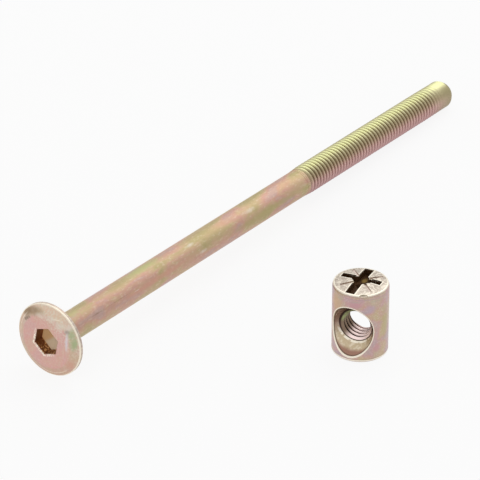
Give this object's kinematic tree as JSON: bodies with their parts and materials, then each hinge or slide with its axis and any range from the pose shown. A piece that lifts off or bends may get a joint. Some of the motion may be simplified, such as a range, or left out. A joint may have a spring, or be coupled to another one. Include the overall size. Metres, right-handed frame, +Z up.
{
  "type": "furniture bolt with barrel nut",
  "caption": "Long M6 furniture connector bolt with a wide bevelled hex socket head, lying beside the cross-drilled barrel nut it screws into.",
  "frame": {"origin": "on the ground, under the centre of the box round both pieces", "axes": "+X along the lying bolt from its head to its tip, +Z up, the nut on the -Y side"},
  "size_m": [0.132, 0.0536, 0.0146],
  "materials": {
    "bolt_zinc": "yellow iridescent zinc, satin",
    "nut_zinc": "yellow iridescent zinc, satin"
  },
  "bodies": {
    "root": {"bolt": "bolt_zinc", "barrel_nut": "nut_zinc"}
  },
  "joints": []
}
